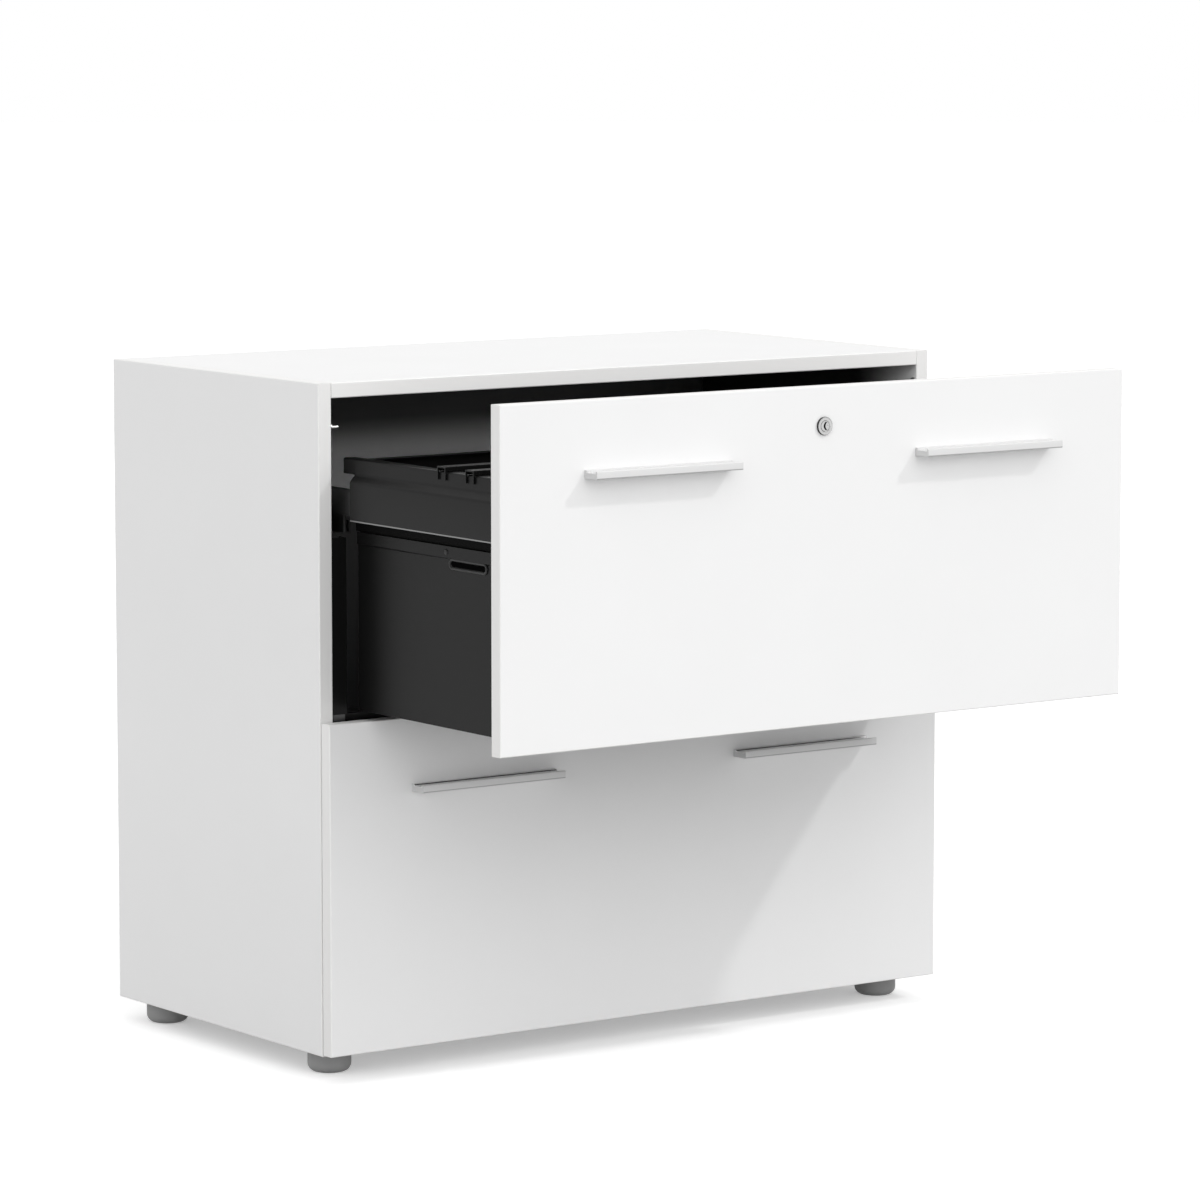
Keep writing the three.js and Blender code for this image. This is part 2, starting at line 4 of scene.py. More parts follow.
import bmesh
import bpy
import numpy as np
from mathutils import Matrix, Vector


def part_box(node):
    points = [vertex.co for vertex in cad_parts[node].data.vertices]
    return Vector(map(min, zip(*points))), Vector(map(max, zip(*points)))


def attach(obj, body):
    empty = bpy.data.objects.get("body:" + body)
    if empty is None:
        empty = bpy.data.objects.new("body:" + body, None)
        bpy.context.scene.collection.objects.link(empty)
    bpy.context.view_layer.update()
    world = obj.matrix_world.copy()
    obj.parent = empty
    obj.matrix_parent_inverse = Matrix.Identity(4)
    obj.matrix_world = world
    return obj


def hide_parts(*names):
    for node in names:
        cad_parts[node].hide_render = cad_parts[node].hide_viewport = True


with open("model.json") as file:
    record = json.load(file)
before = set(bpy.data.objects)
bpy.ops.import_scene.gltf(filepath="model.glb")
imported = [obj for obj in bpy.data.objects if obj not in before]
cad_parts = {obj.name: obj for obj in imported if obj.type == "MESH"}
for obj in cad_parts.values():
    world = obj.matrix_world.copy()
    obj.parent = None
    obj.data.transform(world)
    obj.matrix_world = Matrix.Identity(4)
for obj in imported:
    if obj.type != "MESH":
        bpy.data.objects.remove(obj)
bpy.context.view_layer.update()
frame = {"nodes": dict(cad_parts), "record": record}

mm = 0.001
nodes = frame["nodes"]
levels = ("upper", "lower")
sides = {"left": 1, "right": -1}  # sign that points from the outside of the cabinet to its middle
print("frame loaded:", len(nodes), "nodes")


# Shader wiring

class Wire:
    # wraps one output socket; operators add Math nodes, node() adds anything else
    def __init__(self, tree, socket=None):
        self.tree = tree
        self.socket = socket

    def node(self, kind, settings=None, sockets=None, out=0):
        made = self.tree.nodes.new(kind)
        for key, value in (settings or {}).items():
            setattr(made, key, value)
        for key, value in (sockets or {}).items():
            self.feed(made.inputs[key], value)
        return Wire(self.tree, made.outputs[out])

    def feed(self, target, value):
        if isinstance(value, Wire):
            self.tree.links.new(value.socket, target)
        else:
            target.default_value = value

    def maths(self, operation, *values):
        return self.node("ShaderNodeMath", {"operation": operation}, dict(enumerate(values)))

    def __add__(self, other):
        return self.maths("ADD", self, other)

    __radd__ = __add__

    def __mul__(self, other):
        return self.maths("MULTIPLY", self, other)

    __rmul__ = __mul__

    def __sub__(self, other):
        return self.maths("SUBTRACT", self, other)

    def __rsub__(self, other):
        return self.maths("SUBTRACT", other, self)

    def __gt__(self, other):
        return self.maths("GREATER_THAN", self, other)

    def __lt__(self, other):
        return self.maths("LESS_THAN", self, other)

    def blend(self, low, high):
        # colour between two colours, with this value as the factor
        return self.node("ShaderNodeMix", {"data_type": "RGBA"}, {0: self, 6: low, 7: high}, out=2)

    def noise(self, place, scale, detail=2.0, rough=0.5):
        return self.node("ShaderNodeTexNoise", None,
                         {"Vector": place, "Scale": scale, "Detail": detail, "Roughness": rough})


def grey(level):
    return (level, level, level, 1.0)


def startMaterial(name, **fixed):
    # a Principled shader with its constant sockets set, and a wire to build on
    material = bpy.data.materials.new(name)
    material.use_nodes = True
    tree = material.node_tree
    shader = tree.nodes["Principled BSDF"]
    for key, value in fixed.items():
        shader.inputs[key.replace("_", " ")].default_value = value
    wire = Wire(tree)
    place = wire.node("ShaderNodeTexCoord", out="Object")
    return material, shader, wire, place


def addBump(shader, wire, height, strength, distance):
    bump = wire.node("ShaderNodeBump", None, {"Height": height, "Strength": strength, "Distance": distance})
    wire.feed(shader.inputs["Normal"], bump)


# Materials

# the inner-face entries paint shade into the cabinet, fading in with depth; the back entries paint a band of light
# between painted shade
boardLook = {"white": 0.86, "tint": 0.012, "cloud": 9.0, "edgeBand": 1.0 * mm, "edgeWarmth": (0.995, 0.99, 0.98),
             "innerShade": 0.022, "fadeFrom": 10 * mm, "fadeTo": 110 * mm, "shadeInset": 0.4 * mm,
             "backShadeTone": 0.1, "backLitDrop": 104 * mm, "backShadeDrop": 61 * mm, "litBand": 45 * mm,
             "specular": 0.35, "roughness": 0.5, "spread": 0.08, "peel": 620.0, "peelBump": 0.25,
             "peelDepth": 0.05 * mm}


def boardMaterial(name, box, inside=None, thickAxis=1):
    # white melamine with edging a shade warmer; past the inside limit it fades to painted shade that deepens with
    # depth, and a fade over height is dark again below its pale band: a painted band of light with painted shade above
    # and below
    look = boardLook
    material, shader, wire, place = startMaterial(name, Specular_IOR_Level=look["specular"])
    axes = wire.node("ShaderNodeSeparateXYZ", None, {0: place})
    at = [Wire(wire.tree, axes.socket.node.outputs[i]) for i in range(3)]
    cloud = wire.noise(place, look["cloud"], 3.0)
    low, high = grey(look["white"] - look["tint"]), grey(look["white"] + look["tint"])
    colour = cloud.blend(low, high)
    band = None
    for axis in range(3):
        if axis != thickAxis:
            edge = (at[axis] < box[0][axis] + look["edgeBand"]) + (at[axis] > box[1][axis] - look["edgeBand"])
            band = edge if band is None else band + edge
    warm = tuple(look["white"] * k for k in look["edgeWarmth"]) + (1.0,)
    colour = band.maths("MINIMUM", band, 1.0).blend(colour, warm)
    # painted shade on the inner faces; on the back a painted band of light with painted shade above and below it
    if inside:
        axis, limit, sign, along, clear, full, tone = inside
        mask = at[axis] > limit if sign > 0 else at[axis] < limit
        fade = wire.node("ShaderNodeMapRange", {"interpolation_type": "SMOOTHSTEP"},
                         {"Value": at[along], "From Min": clear, "From Max": full})
        if along == 2:
            fade = fade.maths("MAXIMUM", fade, at[along] < clear - look["litBand"])
        colour = (mask * fade).blend(colour, grey(tone))
    wire.feed(shader.inputs["Base Color"], colour)
    grain = wire.noise(place, look["peel"])
    wire.feed(shader.inputs["Roughness"], grain * look["spread"] + (look["roughness"] - look["spread"] / 2))
    addBump(shader, wire, grain, look["peelBump"], look["peelDepth"])
    return material


coatLook = {"drift": 14.0, "toneSpread": 0.1, "grainGloss": 0.12, "driftGloss": 0.06, "bump": 0.3}


def coatMaterial(name, level, roughness, specular, grainScale, grainDepth):
    # powder coat or moulded skin: fine pebbled grain with slow drifts of tone and gloss
    look = coatLook
    material, shader, wire, place = startMaterial(name, Specular_IOR_Level=specular)
    drift = wire.noise(place, look["drift"], 3.0)
    low, high = grey(level * (1 - look["toneSpread"])), grey(level * (1 + look["toneSpread"]))
    wire.feed(shader.inputs["Base Color"], drift.blend(low, high))
    grain = wire.noise(place, grainScale, 3.0)
    gloss = grain * look["grainGloss"] + drift * look["driftGloss"]
    middle = (look["grainGloss"] + look["driftGloss"]) / 2
    wire.feed(shader.inputs["Roughness"], gloss + (roughness - middle))
    addBump(shader, wire, grain, look["bump"], grainDepth)
    return material


nickelLook = {"rings": 12000.0, "tone": 0.5, "toneSpread": 0.04, "black": 0.05, "smear": 220.0, "roughness": 0.2,
              "smearGloss": 0.1, "ringGloss": 0.03, "bump": 0.15, "bumpDepth": 0.02 * mm}


def nickelMaterial(name, centre, rim, well, floor):
    # turned nickel: fine lathe rings about the axis, dark past the rim, and painted shade in the keyway well below the
    # floor
    look = nickelLook
    material, shader, wire, place = startMaterial(name, Metallic=1.0)
    moved = wire.node("ShaderNodeMapping", None, {"Vector": place, "Location": (-centre[0], 0.0, -centre[2])})
    flat = wire.node("ShaderNodeVectorMath", {"operation": "MULTIPLY"}, {0: moved, 1: (1.0, 0.0, 1.0)})
    radius = wire.node("ShaderNodeVectorMath", {"operation": "LENGTH"}, {0: flat}, out="Value")
    depth = Wire(wire.tree, wire.node("ShaderNodeSeparateXYZ", None, {0: place}).socket.node.outputs[1])
    rings = radius.maths("SINE", radius * look["rings"])
    smear = wire.noise(place, look["smear"])
    # past the rim the flange's side is dark; in the keyway well below the floor the dark is painted shade
    dark = (radius > rim) + (radius < well) * (depth > floor)
    tone = smear.blend(grey(look["tone"] - look["toneSpread"]), grey(look["tone"] + look["toneSpread"]))
    wire.feed(shader.inputs["Base Color"], dark.blend(tone, grey(look["black"])))
    gloss = smear * look["smearGloss"] + rings * look["ringGloss"]
    wire.feed(shader.inputs["Roughness"], gloss + look["roughness"])
    addBump(shader, wire, rings, look["bump"], look["bumpDepth"])
    return material


steelLook = {"across": 900.0, "along": 14.0, "toneSpread": 0.15, "gloss": 0.16, "bump": 0.15, "bumpDepth": 0.02 * mm}


def steelMaterial(name, level, roughness, streakAxis):
    # drawn or plated steel: streaks along the length of the piece
    look = steelLook
    material, shader, wire, place = startMaterial(name, Metallic=1.0)
    stretch = [look["across"]] * 3
    stretch[streakAxis] = look["along"]
    drawn = wire.node("ShaderNodeMapping", None, {"Vector": place, "Scale": tuple(stretch)})
    streak = wire.noise(drawn, 1.0, 3.0)
    low, high = grey(level * (1 - look["toneSpread"])), grey(level * (1 + look["toneSpread"]))
    wire.feed(shader.inputs["Base Color"], streak.blend(low, high))
    wire.feed(shader.inputs["Roughness"], streak * look["gloss"] + (roughness - look["gloss"] / 2))
    addBump(shader, wire, streak, look["bump"], look["bumpDepth"])
    return material


# the end tone and the tone under the nose are painted shade: darker end faces and a painted shadow under the lip
pullLook = {"tone": 0.72, "toneSpread": 0.02, "endShadeTone": 0.58, "noseShadowTone": 0.42, "grooveTone": 0.8,
            "specular": 0.3, "roughness": 0.38, "grain": 1500.0, "grainGloss": 0.1, "dullGloss": 0.15,
            "grooveGloss": 0.14, "bump": 0.2, "bumpDepth": 0.03 * mm, "endShade": 0.05 * mm, "nose": 6.8 * mm,
            "grooveFrom": 4.0 * mm, "lipDepth": 2.4 * mm, "grooveHigh": 0.15 * mm, "grooveLow": 2.6 * mm}


def pullMaterial(name, top, middle, length, face, tip):
    # pale satin coat; the end faces and the line under the nose of the lip are duller and painted darker, painted
    # shade; the groove is bare metal
    look = pullLook
    material, shader, wire, place = startMaterial(name, Specular_IOR_Level=look["specular"])
    axes = wire.node("ShaderNodeSeparateXYZ", None, {0: place}).socket.node.outputs
    across, inward, upward = [Wire(wire.tree, axis) for axis in axes]
    off = across.maths("ABSOLUTE", across.maths("ABSOLUTE", across) - middle)
    # the end faces get painted shade
    endShade = off > length / 2 - look["endShade"]
    # below the nose line: a painted shadow under the lip
    nose = (upward < top - look["nose"]) * (1 - endShade)
    groove = (inward < face - look["grooveFrom"]) * (inward > tip + look["lipDepth"])
    groove = groove * (upward > top - look["grooveLow"]) * (upward < top - look["grooveHigh"])
    grain = wire.noise(place, look["grain"], 3.0)
    bright = grain.blend(grey(look["tone"] - look["toneSpread"]), grey(look["tone"] + look["toneSpread"]))
    # painted shade on the ends and a painted shadow under the nose, over the satin tone
    withPaintedShade = nose.blend(endShade.blend(bright, grey(look["endShadeTone"])), grey(look["noseShadowTone"]))
    wire.feed(shader.inputs["Base Color"], groove.blend(withPaintedShade, grey(look["grooveTone"])))
    wire.feed(shader.inputs["Metallic"], groove)
    dull = grain * look["grainGloss"] + (endShade + nose) * look["dullGloss"]
    dull = dull + (look["roughness"] - look["grainGloss"] / 2)
    wire.feed(shader.inputs["Roughness"], dull - groove * look["grooveGloss"])
    addBump(shader, wire, grain, look["bump"], look["bumpDepth"])
    return material


# level, roughness, specular, grain scale, grain depth
blackCoat = coatMaterial("blackPowderCoat", 0.006, 0.32, 0.11, 1300.0, 0.05 * mm)
# near-black coat with almost no gloss: painted shade, used on the frame's inner wall below the hood
shadeCoat = coatMaterial("paintedShadeBlackSteel", 0.003, 0.7, 0.06, 1300.0, 0.06 * mm)
wornCoat = coatMaterial("rubbedBlackEdge", 0.01, 0.36, 0.3, 1300.0, 0.06 * mm)
footPlastic = coatMaterial("greyMoulding", 0.3, 0.55, 0.4, 900.0, 0.05 * mm)
# level, roughness, axis of the streaks
runnerSteel = steelMaterial("darkRunnerSteel", 0.1, 0.42, 1)
rodSteel = steelMaterial("platedRodSteel", 0.62, 0.3, 0)
hemSteel = steelMaterial("zincHem", 0.2, 0.34, 1)
print("materials ready")


# Surfaces

def meshPiece(name, points, faces, material, body, slot, replaced=(), smooth=True):
    mesh = bpy.data.meshes.new(name)
    mesh.from_pydata(points.reshape(-1, 3), [], faces)
    mesh.polygons.foreach_set("use_smooth", np.full(len(mesh.polygons), smooth))
    mesh.materials.append(material)
    mesh.update()
    piece = bpy.data.objects.new(name, mesh)
    bpy.context.scene.collection.objects.link(piece)
    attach(piece, body)
    if replaced:
        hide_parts(*replaced)
    return piece


def gridFaces(rows, columns, wrap):
    # quads between neighbouring rows and columns; wrap joins the last column to the first
    r = np.arange(rows - 1)[:, None]
    c = np.arange(columns if wrap else columns - 1)[None, :]
    n = (c + 1) % columns
    quads = np.stack([r * columns + c, r * columns + n, (r + 1) * columns + n, (r + 1) * columns + c], -1)
    return quads.reshape(-1, 4)


def rounded(corners, radius, steps=4):
    # each corner is replaced by a parabola tangent to its two sides, starting radius away from the corner
    corners = np.asarray(corners, float)
    radius = np.broadcast_to(np.asarray(radius, float), len(corners))[:, None]
    back = np.roll(corners, 1, 0) - corners
    ahead = np.roll(corners, -1, 0) - corners
    backLength = np.linalg.norm(back, axis=1, keepdims=True)
    aheadLength = np.linalg.norm(ahead, axis=1, keepdims=True)
    longest = 0.45 * np.minimum(backLength, aheadLength)
    reach = np.minimum(radius, longest)
    start = corners + back / backLength * reach
    end = corners + ahead / aheadLength * reach
    t = np.linspace(0, 1, steps + 1)[None, :, None]
    curve = (1 - t) ** 2 * start[:, None] + 2 * t * (1 - t) * corners[:, None] + t ** 2 * end[:, None]
    return curve.reshape(-1, 2)


def foldedSheet(path, thickness):
    # closed outline of bent sheet: the path, then the path moved by the thickness along its mitred normals
    path = np.asarray(path, float)
    along = np.diff(path, axis=0)
    along /= np.linalg.norm(along, axis=1, keepdims=True)
    normal = np.stack([-along[:, 1], along[:, 0]], -1)
    before = np.vstack([normal[:1], normal])
    after = np.vstack([normal, normal[-1:]])
    mitre = (before + after) / (1 + (before * after).sum(1, keepdims=True))
    return np.vstack([path, (path + mitre * thickness)[::-1]])


def signedArea(outline):
    x, y = outline.T
    return 0.5 * np.sum(x * np.roll(y, -1) - np.roll(x, -1) * y)


def sweepPiece(name, outline, axis, start, end, *rest, smooth=True):
    # the closed outline carried straight along one axis, with flat ends
    outline = np.asarray(outline, float)
    turns = signedArea(outline) * (-1 if axis == 1 else 1)
    outline = outline if turns > 0 else outline[::-1]
    count = len(outline)
    ring = np.empty((2, count, 3))
    first, second = [other for other in range(3) if other != axis]
    ring[:, :, first] = outline[:, 0]
    ring[:, :, second] = outline[:, 1]
    ring[0, :, axis] = start
    ring[1, :, axis] = end
    ends = [list(range(count))[::-1], list(range(count, 2 * count))]
    faces = gridFaces(2, count, True).tolist() + ends
    return meshPiece(name, ring, faces, *rest, smooth=smooth)


def revolvePiece(name, profile, axis, centre, *rest, segments=64):
    # radius and place along the axis, turned once round; a closed profile makes a ring
    profile = np.asarray(profile, float)
    turn = np.linspace(0, 2 * np.pi, segments, endpoint=False)
    radius, along = profile[:, :1], profile[:, 1:]
    points = np.empty((len(profile), segments, 3))
    first, second = (axis + 1) % 3, (axis + 2) % 3
    points[:, :, first] = radius * np.cos(turn) + centre[first]
    points[:, :, second] = radius * np.sin(turn) + centre[second]
    points[:, :, axis] = along + centre[axis]
    piece = meshPiece(name, points, gridFaces(len(profile), segments, True), *rest)
    weldTurned(piece)
    return piece


weld = {"near": 1e-7, "flat": 1e-8}


def weldTurned(piece):
    # merges the rings on the axis and the seam of a closed profile, then points every face outwards
    work = bmesh.new()
    work.from_mesh(piece.data)
    bmesh.ops.remove_doubles(work, verts=work.verts, dist=weld["near"])
    bmesh.ops.dissolve_degenerate(work, edges=work.edges, dist=weld["flat"])
    bmesh.ops.recalc_face_normals(work, faces=work.faces)
    work.to_mesh(piece.data)
    work.free()


def edgeSplit(piece, angle=35.0):
    modifier = piece.modifiers.new("crease", "EDGE_SPLIT")
    modifier.split_angle = math.radians(angle)


arris = {"board": 0.35 * mm, "steel": 0.3 * mm, "segments": 2, "angle": 32, "near": 1e-5}


def soften(node, width):
    # small rounded arrises on a CAD piece: its triangles are welded first
    joined = node.modifiers.new("weld", "WELD")
    joined.merge_threshold = arris["near"]
    bevel = node.modifiers.new("arris", "BEVEL")
    bevel.width = width
    bevel.segments = arris["segments"]
    bevel.limit_method = "ANGLE"
    bevel.angle_limit = math.radians(arris["angle"])


def dress(name, material):
    nodes[name].data.materials.clear()
    nodes[name].data.materials.append(material)


# Carcass boards and fronts

def dressBoards():
    # sides, top and bottom get painted shade that deepens over a stretch of depth; the back gets painted shade above
    # and below a painted band of light
    look = boardLook
    shadeInset = look["shadeInset"]
    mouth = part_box("left_side_panel")[0].y
    # painted shade on the inner faces, clear near the mouth and full deeper in
    fade = (1, mouth + look["fadeFrom"], mouth + look["fadeTo"], look["innerShade"])
    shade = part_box("top_panel")[0].z
    # a painted band of light on the back under the top, with painted shade above and below it
    band = (2, shade - look["backLitDrop"], shade - look["backShadeDrop"], look["backShadeTone"])
    insides = {
        "left_side_panel": (0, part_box("left_side_panel")[1].x - shadeInset, 1, *fade),
        "right_side_panel": (0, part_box("right_side_panel")[0].x + shadeInset, -1, *fade),
        "top_panel": (2, shade + shadeInset, -1, *fade),
        "bottom_panel": (2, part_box("bottom_panel")[1].z - shadeInset, 1, *fade),
        "back_panel": (1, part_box("back_panel")[0].y + shadeInset, -1, *band),
    }
    for name in [*insides, "upper_front", "lower_front"]:
        low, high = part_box(name)
        thin = int(np.argmin(np.array(high - low)))
        dress(name, boardMaterial(name + "Melamine", (low, high), insides.get(name), thin))
        soften(nodes[name], arris["board"])


dressBoards()
print("boards dressed")


# Steelwork that keeps its CAD shape

def dressSteel():
    finishes = {"black_steel": blackCoat, "dark_steel": runnerSteel}
    slotOf = {part["node"]: part["material_slot"] for part in frame["record"]["subparts"]}
    for name, slot in slotOf.items():
        if slot in finishes:
            dress(name, finishes[slot])
            soften(nodes[name], arris["steel"])
    for name in ("left_lock_rod", "right_lock_rod", "lock_pinion"):
        dress(name, rodSteel)


dressSteel()
print("steel dressed")


# Bar pulls

pull = {"wall": 2.2 * mm, "dip": 2.2 * mm, "flange": 8.3 * mm, "lip": 8.0 * mm, "bend": 1.1 * mm,
        "gap": 0.2 * mm, "cap": 1.5 * mm}


def pullOutline(face, top, reach, closed):
    # flange flat on the front, dipped web and outer lip with a rounded nose; a cap is closed underneath
    p = pull
    lipBack = reach - p["wall"]
    under = -p["dip"] - p["wall"]
    above = [(p["gap"], 0), (2 * p["wall"], 0), (2 * p["wall"] + p["dip"], -p["dip"]),
             (lipBack - p["dip"], -p["dip"]), (lipBack, 0), (reach, 0), (reach, -p["lip"])]
    below = [(lipBack, -p["lip"]), (lipBack, under), (2 * p["wall"], under),
             (p["gap"] + p["wall"], under - p["wall"]), (p["gap"] + p["wall"], -p["flange"])]
    corners = above + ([] if closed else below) + [(p["gap"], -p["flange"])]
    out = rounded(corners, p["bend"])
    return np.stack([face - out[:, 0], top + out[:, 1]], -1)


def makePulls():
    for level in levels:
        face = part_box(level + "_front")[0].y
        low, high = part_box(level + "_right_handle")
        satin = pullMaterial(level + "SatinPull", high.z, (low.x + high.x) / 2, high.x - low.x, face, low.y)
        rest = (satin, level + "_drawer", "satin_handle")
        for side in sides:
            node = f"{level}_{side}_handle"
            low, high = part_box(node)
            bar = pullOutline(face, high.z, face - low.y, False)
            cap = pullOutline(face, high.z, face - low.y, True)
            left, right = low.x + pull["cap"], high.x - pull["cap"]
            edgeSplit(sweepPiece(f"{level}_{side}_pull", bar, 0, left, right, *rest, (node,)))
            edgeSplit(sweepPiece(f"{level}_{side}_pull_left_cap", cap, 0, low.x, left, *rest))
            edgeSplit(sweepPiece(f"{level}_{side}_pull_right_cap", cap, 0, right, high.x, *rest))


makePulls()
print("pulls made")


# Drawer frames: hood over the runner, rim, inner wall, guide

steel = {"sheet": 1.2 * mm, "rimHeight": 16 * mm, "rimInset": 7 * mm, "shoulder": 7 * mm, "hoodHeight": 39.5 * mm,
         "lip": 4.5 * mm, "hoodShort": 22 * mm, "bend": 2.2 * mm, "guideRise": 30 * mm, "guideLip": 10 * mm,
         "guideHalf": 5.6 * mm, "guideMiddle": 11 * mm, "guideBend": 0.4 * mm, "hemInset": 0.02 * mm,
         "hemReach": 1.3 * mm, "hemDrop": 1.3 * mm, "hemRise": 0.4 * mm, "hemBend": 0.5 * mm}


def makeFrame(level, side):
    s = steel
    node = f"{level}_{side}_frame"
    low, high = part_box(node)
    inward = sides[side]
    outer = low.x if inward > 0 else high.x
    depth = high.x - low.x
    rimLow = high.z - s["rimHeight"]
    hoodHigh = rimLow - s["shoulder"]
    hoodLow = hoodHigh - s["hoodHeight"]

    def place(path):
        outline = rounded(foldedSheet(path, -s["sheet"]), s["bend"])
        return np.stack([outer + inward * outline[:, 0], outline[:, 1]], -1)

    rest = (blackCoat, level + "_drawer", "black_steel")
    hoodEnd = high.y - s["hoodShort"]
    rimPath = [(s["rimInset"], rimLow), (s["rimInset"], high.z), (depth, high.z), (depth, hoodLow)]
    hoodPath = [(s["lip"], hoodLow), (0, hoodLow), (0, hoodHigh), *rimPath]
    hood = sweepPiece(node + "_hood", place(hoodPath), 1, low.y, hoodEnd, *rest, (node,))
    tail = sweepPiece(node + "_rim_end", place(rimPath), 1, hoodEnd, high.y, *rest)
    # the inner wall below the hood is painted shade: near-black and almost without gloss
    skirtPath = [(depth, hoodLow), (depth, low.z)]
    skirt = sweepPiece(node + "_skirt", place(skirtPath), 1, low.y, high.y, shadeCoat, *rest[1:])
    shelf = hoodLow + s["guideRise"]
    guide = sweepPiece(node + "_guide", guideOutline(outer, inward, depth, shelf), 1, low.y, hoodEnd, *rest)
    hemIn, hemOut = outer + inward * s["hemInset"], outer + inward * s["hemReach"]
    hemLow, hemHigh = hoodLow - s["hemDrop"], hoodLow + s["hemRise"]
    hem = rounded([(hemIn, hemLow), (hemOut, hemLow), (hemOut, hemHigh), (hemIn, hemHigh)], s["hemBend"])
    hemPiece = sweepPiece(node + "_hem", hem, 1, low.y, hoodEnd, hemSteel, level + "_drawer", "bright_steel")
    for piece in (hood, tail, skirt, guide, hemPiece):
        edgeSplit(piece)


def guideOutline(outer, inward, depth, shelf):
    # inverted channel over the carriage with a tab to each wall of the frame
    s = steel
    left, right = s["guideMiddle"] - s["guideHalf"], s["guideMiddle"] + s["guideHalf"]
    top, low, t = shelf + s["sheet"], shelf - s["guideLip"], s["sheet"]
    corners = [(t, shelf), (left - t, shelf), (left - t, low), (left, low), (left, shelf), (right, shelf),
               (right, low), (right + t, low), (right + t, shelf), (depth - t, shelf), (depth - t, top), (t, top)]
    outline = rounded(corners, s["guideBend"], 2)
    return np.stack([outer + inward * outline[:, 0], outline[:, 1]], -1)


for level in levels:
    for side in sides:
        makeFrame(level, side)
print("frames made")


# Tray sides: a rivet in the bead and a pressed rim round the slot

trayTrim = {"rivetRadius": 3.2 * mm, "rivetProud": 1.3 * mm, "rivetDrop": 6.5 * mm, "rivetAhead": 38 * mm,
            "slotLength": 64 * mm, "slotHeight": 8 * mm, "slotDrop": 18 * mm, "slotSetback": 101 * mm,
            "frontGap": 2 * mm, "wallInset": 1.4 * mm, "rim": 1.7 * mm, "overhang": 1.2 * mm,
            "rivetSunk": 0.2 * mm, "rivetSegments": 24, "arcSteps": 7, "roundSteps": 48}


def makeTrayTrim(level, side):
    t = trayTrim
    node = f"{level}_{side}_tray_side"
    low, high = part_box(node)
    inward = sides[side]
    outer = low.x if inward > 0 else high.x
    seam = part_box(f"{level}_{side}_frame")[0].z
    rest = (wornCoat, level + "_drawer", "black_steel")
    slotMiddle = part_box(level + "_front")[1].y + t["frontGap"] + t["slotSetback"]
    turn = np.linspace(0, np.pi / 2, t["arcSteps"])
    dome = np.stack([t["rivetRadius"] * np.cos(turn), -inward * t["rivetProud"] * np.sin(turn)], -1)
    centre = (outer, slotMiddle + t["rivetAhead"], seam - t["rivetDrop"])
    profile = np.vstack([[(0, inward * t["rivetSunk"])], dome[:1], dome])
    revolvePiece(node + "_rivet", profile, 0, centre, *rest, segments=t["rivetSegments"])
    rimPiece(node + "_slot_rim", outer + inward * t["wallInset"], slotMiddle, seam - t["slotDrop"], inward, *rest)


def rimPiece(name, wall, middle, level, inward, *rest):
    # half-round bead carried round a stadium: two half circles joined by straight runs
    t = trayTrim
    radius = t["slotHeight"] / 2 + t["rim"] - t["overhang"]
    straight = (t["slotLength"] - t["slotHeight"]) / 2
    turn = np.linspace(0, 2 * np.pi, t["roundSteps"], endpoint=False)
    shift = np.where(np.cos(turn) >= 0, straight, -straight)
    section = np.linspace(0, np.pi, t["arcSteps"])
    reach = radius + t["rim"] * np.cos(section)[None, :]
    points = np.empty((len(turn), len(section), 3))
    points[:, :, 0] = wall - inward * t["rim"] * np.sin(section)[None, :]
    points[:, :, 1] = middle + shift[:, None] + reach * np.cos(turn)[:, None]
    points[:, :, 2] = level + reach * np.sin(turn)[:, None]
    points = np.vstack([points, points[:1]])
    weldTurned(meshPiece(name, points, gridFaces(len(turn) + 1, len(section), True), *rest))


for level in levels:
    for side in sides:
        makeTrayTrim(level, side)
print("tray trim made")


# Lock

lock = {"flange": 9.4 * mm, "body": 8 * mm, "bore": 5.6 * mm, "plug": 5.3 * mm, "tail": 3 * mm, "recess": 0.4 * mm,
        "mouth": 0.9 * mm, "shoulder": 0.7 * mm, "shoulderDrop": 0.5 * mm, "easing": 0.35 * mm, "seatGap": 0.2 * mm,
        "rimDark": 0.5 * mm, "wellDark": 0.3 * mm, "floorDark": 0.5 * mm, "keyWidth": 2.2 * mm, "keyReach": 4.2 * mm,
        "keyBend": 1.2 * mm, "keyShift": 0.25 * mm, "keyDepth": 3.0 * mm, "dotPlace": 2.7 * mm,
        "dotRadius": 1.2 * mm, "dotProud": 0.3 * mm, "tailSunk": 0.5 * mm, "gridSteps": 141}


def makeLock():
    l = lock
    low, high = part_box("lock_housing")
    centre = ((low.x + high.x) / 2, 0.0, (low.z + high.z) / 2)
    face, back = low.y, high.y
    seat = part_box("upper_front")[0].y - l["seatGap"]
    plugLow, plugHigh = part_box("lock_plug")
    nickel = nickelMaterial("turnedNickel", centre, l["flange"] - l["rimDark"], l["plug"] - l["wellDark"],
                            plugLow.y + l["floorDark"])
    ring = rounded([(l["bore"], face + l["recess"]), (l["bore"] + l["mouth"], face),
                    (l["flange"] - l["shoulder"], face), (l["flange"], face + l["shoulderDrop"]),
                    (l["flange"], seat), (l["body"], seat), (l["body"], back), (l["bore"], back)], l["easing"], 3)
    ring = np.vstack([ring, ring[:1]])
    edgeSplit(revolvePiece("lock_rosette", ring, 1, centre, nickel, "upper_drawer", "bright_steel",
                           ("lock_housing",)))
    makePlug(plugLow.y, back, centre, nickel)
    root = back - l["tailSunk"]
    tail = [(0, root), (l["tail"], root), (l["tail"], plugHigh.y), (0, plugHigh.y)]
    edgeSplit(revolvePiece("lock_plug_tail", tail, 1, centre, nickel, "lock_plug", "bright_steel"))


